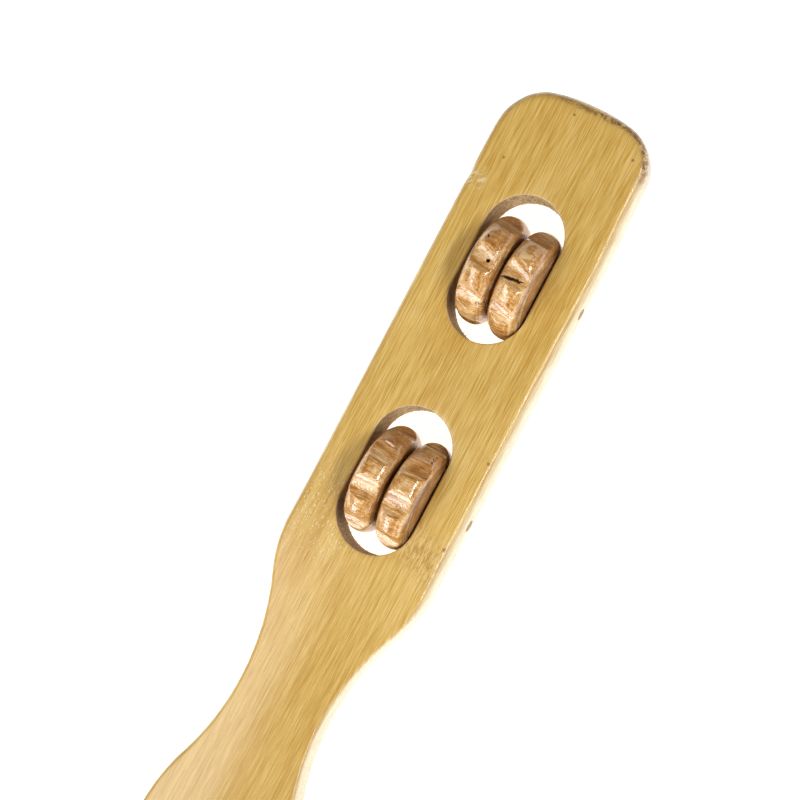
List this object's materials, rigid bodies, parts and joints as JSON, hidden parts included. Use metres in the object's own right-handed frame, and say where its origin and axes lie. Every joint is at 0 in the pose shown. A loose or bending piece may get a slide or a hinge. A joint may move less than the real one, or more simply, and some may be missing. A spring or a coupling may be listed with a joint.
{
  "type": "hand-held foot massage roller",
  "caption": "Flat bamboo massage stick: lobed wooden rollers spin on steel cross pins in the windows of its head, and a narrow neck leads to a rounded palm grip.",
  "frame": {"origin": "middle of the whole part, on the axis plane of the two roller pins", "axes": "+X along the handle towards the roller head, +Y across it towards the blind ends of the pin holes, +Z out of the front face"},
  "size_m": [0.33, 0.05, 0.0348],
  "materials": {
    "bamboo": "golden bamboo under a thin satin lacquer, fine lengthwise fibres",
    "roller_wood": "mid-brown carved wood under gloss lacquer, grain along the pin",
    "pin_steel": "plain drawn steel",
    "plug_wood": "end grain of a bamboo dowel, sanded flush"
  },
  "bodies": {
    "handle": {"handle": "bamboo", "tip_axle_pin": "pin_steel", "neck_axle_pin": "pin_steel", "tip_axle_plug": "plug_wood", "neck_axle_plug": "plug_wood"},
    "tip_roller_left": {"tip_roller_left": "roller_wood"},
    "tip_roller_right": {"tip_roller_right": "roller_wood"},
    "neck_roller_left": {"neck_roller_left": "roller_wood"},
    "neck_roller_right": {"neck_roller_right": "roller_wood"}
  },
  "joints": [
    {"name": "tip_left_spin", "type": "hinge", "parent": "handle", "child": "tip_roller_left", "pos_m": [0.1083, 0, 0], "axis": [0, 1, 0], "continuous": true},
    {"name": "tip_right_spin", "type": "hinge", "parent": "handle", "child": "tip_roller_right", "pos_m": [0.1083, 0, 0], "axis": [0, 1, 0], "continuous": true},
    {"name": "neck_left_spin", "type": "hinge", "parent": "handle", "child": "neck_roller_left", "pos_m": [0.0378, 0, 0], "axis": [0, 1, 0], "continuous": true},
    {"name": "neck_right_spin", "type": "hinge", "parent": "handle", "child": "neck_roller_right", "pos_m": [0.0378, 0, 0], "axis": [0, 1, 0], "continuous": true}
  ]
}
